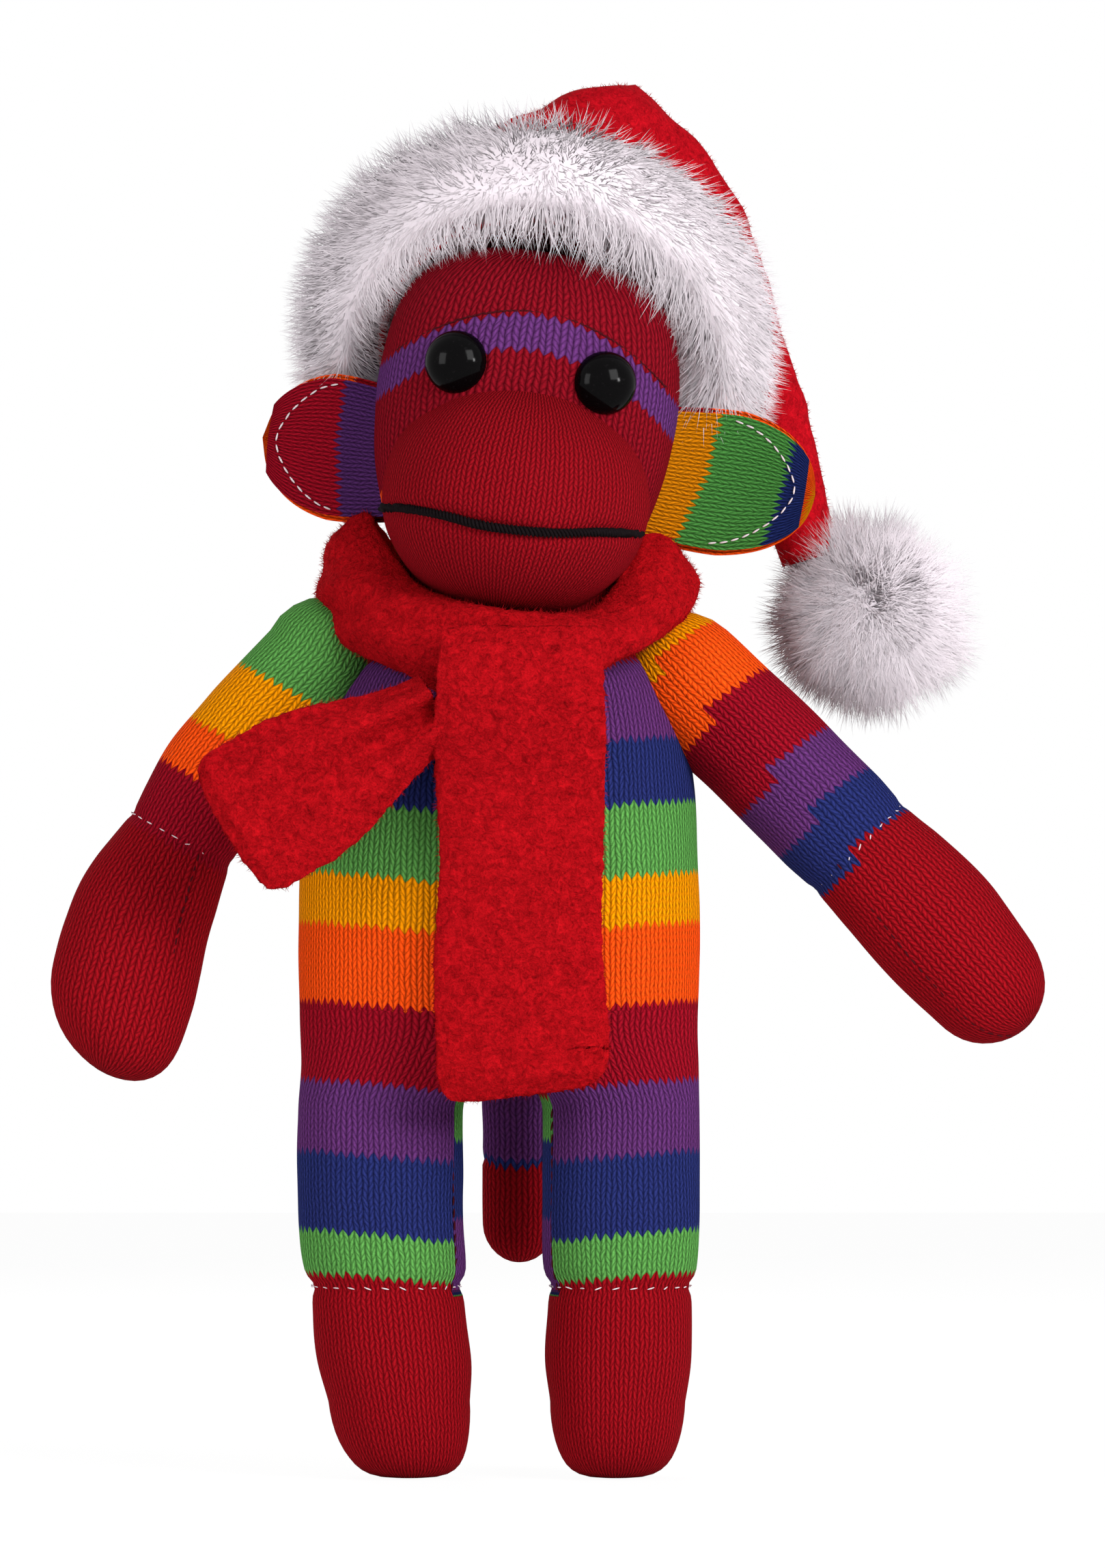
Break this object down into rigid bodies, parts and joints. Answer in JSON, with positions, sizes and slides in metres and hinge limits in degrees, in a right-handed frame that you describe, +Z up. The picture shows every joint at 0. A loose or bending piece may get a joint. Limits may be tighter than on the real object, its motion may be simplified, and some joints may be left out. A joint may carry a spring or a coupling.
{
  "type": "sock monkey doll",
  "caption": "Standing knitted sock monkey doll with striped, stuffed body and limbs, round muzzle, button eyes, wrapped scarf and a fur-trimmed hat whose pompom tip hangs to one side.",
  "frame": {"origin": "middle of the doll's outline on the floor under its soles", "axes": "+Z up from the soles; the face looks towards -Y; the doll's left is +X"},
  "size_m": [0.1958, 0.105, 0.2754],
  "materials": {
    "striped_knit": "rib knit in purple, blue, green, yellow, orange and red courses",
    "red_knit": "rib knit",
    "red_fleece": "short curly pile",
    "white_fur": "long silky pile",
    "fibre_fill": "loose polyester fibre",
    "black_yarn": "twisted yarn",
    "black_eye": "glossy",
    "eye_washer": "matt"
  },
  "bodies": {
    "torso": {"torso_skin": "striped_knit", "torso_stuffing": "fibre_fill", "scarf_collar": "red_fleece"},
    "neck": {"neck_stuffing": "fibre_fill"},
    "head": {"head_skin": "red_knit", "head_stuffing": "fibre_fill", "muzzle_skin": "red_knit", "muzzle_stuffing": "fibre_fill", "mouth_yarn": "black_yarn", "left_eye": "black_eye", "right_eye": "black_eye", "left_eye_washer": "eye_washer", "right_eye_washer": "eye_washer"},
    "left_ear": {"left_ear_front": "striped_knit", "left_ear_back": "red_knit"},
    "right_ear": {"right_ear_front": "striped_knit", "right_ear_back": "red_knit"},
    "hat": {"hat_crown": "red_fleece", "hat_fur_band": "white_fur"},
    "hanging_tip": {"hat_tip": "red_fleece", "hat_pompom": "white_fur"},
    "left_shoulder": {"left_shoulder_stuffing": "fibre_fill"},
    "right_shoulder": {"right_shoulder_stuffing": "fibre_fill"},
    "left_arm": {"left_arm_skin": "striped_knit", "left_hand_skin": "red_knit", "left_arm_stuffing": "fibre_fill"},
    "right_arm": {"right_arm_skin": "striped_knit", "right_hand_skin": "red_knit", "right_arm_stuffing": "fibre_fill"},
    "left_leg": {"left_leg_skin": "striped_knit", "left_foot_skin": "red_knit", "left_leg_stuffing": "fibre_fill"},
    "right_leg": {"right_leg_skin": "striped_knit", "right_foot_skin": "red_knit", "right_leg_stuffing": "fibre_fill"},
    "tail": {"tail_skin": "striped_knit", "tail_tip_skin": "red_knit", "tail_stuffing": "fibre_fill"},
    "scarf_front": {"scarf_front_end": "red_fleece"},
    "scarf_side": {"scarf_side_end": "red_fleece"}
  },
  "joints": [
    {"name": "head_nod", "type": "hinge", "parent": "torso", "child": "neck", "pos_m": [-0.00887, -0.00796, 0.172], "axis": [-1, 0, 0], "range_deg": [-3, 10], "stiffness_Nm_per_rad": 0.12},
    {"name": "head_turn", "type": "hinge", "parent": "neck", "child": "head", "pos_m": [-0.00887, -0.00796, 0.172], "axis": [0.1392, 0, 0.9903], "range_deg": [-20, 20], "stiffness_Nm_per_rad": 0.05},
    {"name": "left_ear_flap", "type": "hinge", "parent": "head", "child": "left_ear", "pos_m": [0.02348, -0.01021, 0.19686], "axis": [-0.1392, 0, -0.9903], "range_deg": [0, 30], "stiffness_Nm_per_rad": 0.01},
    {"name": "right_ear_flap", "type": "hinge", "parent": "head", "child": "right_ear", "pos_m": [-0.03656, -0.01021, 0.20076], "axis": [0.1392, 0, 0.9903], "range_deg": [0, 30], "stiffness_Nm_per_rad": 0.01},
    {"name": "hat_pull", "type": "slide", "parent": "head", "child": "hat", "axis": [0.0895, 0.766, 0.6365], "range_m": [0, 0.08]},
    {"name": "hanging_tip_swing", "type": "hinge", "parent": "hat", "child": "hanging_tip", "pos_m": [0.01663, 0.02204, 0.2754], "axis": [0, -1, 0], "range_deg": [0, 90]},
    {"name": "left_arm_swing", "type": "hinge", "parent": "torso", "child": "left_shoulder", "pos_m": [0.02543, -0.00796, 0.1577], "axis": [-1, 0, 0], "range_deg": [-25, 75], "stiffness_Nm_per_rad": 0.03},
    {"name": "left_arm_raise", "type": "hinge", "parent": "left_shoulder", "child": "left_arm", "pos_m": [0.02543, -0.00796, 0.1577], "axis": [0, -1, 0], "range_deg": [0, 60], "stiffness_Nm_per_rad": 0.04},
    {"name": "right_arm_swing", "type": "hinge", "parent": "torso", "child": "right_shoulder", "pos_m": [-0.04437, -0.00796, 0.1605], "axis": [-1, 0, 0], "range_deg": [-25, 20], "stiffness_Nm_per_rad": 0.03},
    {"name": "right_arm_raise", "type": "hinge", "parent": "right_shoulder", "child": "right_arm", "pos_m": [-0.04437, -0.00796, 0.1605], "axis": [0, 1, 0], "range_deg": [0, 75], "stiffness_Nm_per_rad": 0.03},
    {"name": "left_hip", "type": "hinge", "parent": "torso", "child": "left_leg", "pos_m": [0.01283, -0.00796, 0.057], "axis": [-1, 0, 0], "range_deg": [-25, 85], "stiffness_Nm_per_rad": 0.15},
    {"name": "right_hip", "type": "hinge", "parent": "torso", "child": "right_leg", "pos_m": [-0.03357, -0.00796, 0.057], "axis": [-1, 0, 0], "range_deg": [-25, 85], "stiffness_Nm_per_rad": 0.15},
    {"name": "tail_lift", "type": "hinge", "parent": "torso", "child": "tail", "pos_m": [-0.00657, 0.02214, 0.103], "axis": [1, 0, 0], "range_deg": [0, 80], "stiffness_Nm_per_rad": 0.01},
    {"name": "scarf_front_lift", "type": "hinge", "parent": "torso", "child": "scarf_front", "pos_m": [-0.00587, -0.04256, 0.1668], "axis": [-1, 0, 0], "range_deg": [0, 90]},
    {"name": "scarf_side_lift", "type": "hinge", "parent": "torso", "child": "scarf_side", "pos_m": [-0.02697, -0.04476, 0.148], "axis": [-0.5519, 0, 0.8339], "range_deg": [0, 80], "stiffness_Nm_per_rad": 0.02}
  ]
}
